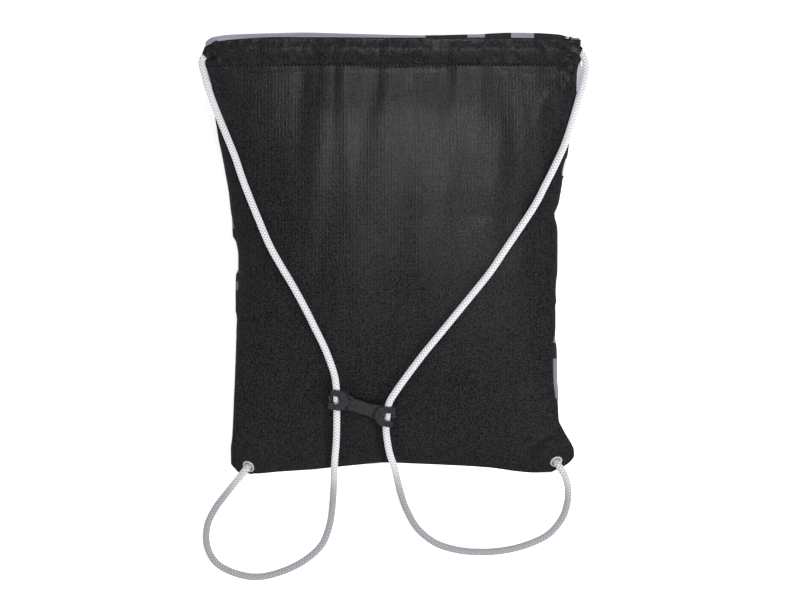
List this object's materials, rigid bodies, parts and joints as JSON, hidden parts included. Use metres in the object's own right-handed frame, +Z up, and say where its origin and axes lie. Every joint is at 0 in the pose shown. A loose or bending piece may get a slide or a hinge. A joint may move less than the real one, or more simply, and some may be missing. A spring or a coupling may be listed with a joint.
{
  "type": "drawstring backpack",
  "caption": "Flat drawstring backpack with a corded mouth channel, shoulder cords run to metal corner eyelets, and a sliding cord clip across the back.",
  "frame": {"origin": "middle of the bag's box, cords and knots left out, on the surface it lies on", "axes": "+Z up out of the back panel, +Y from the bottom seam to the mouth, +X to the right seen from above"},
  "size_m": [0.3906, 0.5485, 0.066],
  "materials": {
    "black_ripstop": "fine ribbed ripstop polyester with a soft sheen",
    "printed_front": "printed polyester, plain blocks of grey, white and black",
    "black_thread": "sewing thread",
    "grey_thread": "sewing thread",
    "seam_overlock": "overlocked seam allowance",
    "cord_braid": "round braided polyester cord",
    "nickel": "polished nickel plating",
    "clip_plastic": "moulded, fine satin"
  },
  "bodies": {
    "bag": {"back_panel": "black_ripstop", "front_panel": "printed_front", "back_channel": "black_ripstop", "front_channel": "printed_front", "back_channel_stitching": "black_thread", "front_channel_stitching": "grey_thread", "side_seam_left": "seam_overlock", "side_seam_right": "seam_overlock", "bottom_seam": "seam_overlock", "corner_patch_left": "black_ripstop", "corner_patch_right": "black_ripstop", "eyelet_left": "nickel", "eyelet_right": "nickel", "washer_left": "nickel", "washer_right": "nickel", "drawcord_left": "cord_braid", "drawcord_right": "cord_braid", "cord_run_left": "cord_braid", "cord_run_right": "cord_braid", "knot_left": "cord_braid", "knot_right": "cord_braid"},
    "mouth_left": {"top_corner_left": "black_ripstop"},
    "mouth_right": {"top_corner_right": "black_ripstop"},
    "clip": {"cord_clip": "clip_plastic"}
  },
  "joints": [
    {"name": "cinch_left", "type": "slide", "parent": "bag", "child": "mouth_left", "axis": [1, 0, 0], "range_m": [0, 0.09], "deforming": ["back_panel", "front_panel", "back_channel", "front_channel", "back_channel_stitching", "front_channel_stitching", "side_seam_left", "drawcord_left", "cord_run_left", "cord_run_right"]},
    {"name": "cinch_right", "type": "slide", "parent": "bag", "child": "mouth_right", "axis": [-1, 0, 0], "range_m": [0, 0.09], "deforming": ["side_seam_right", "drawcord_right"]},
    {"name": "clip_slide", "type": "slide", "parent": "bag", "child": "clip", "axis": [0, 0.9578, 0.2874], "range_m": [-0.025, 0]}
  ],
  "couplings": [
    {"joint": "cinch_right", "follows": "cinch_left", "ratio": 1}
  ]
}
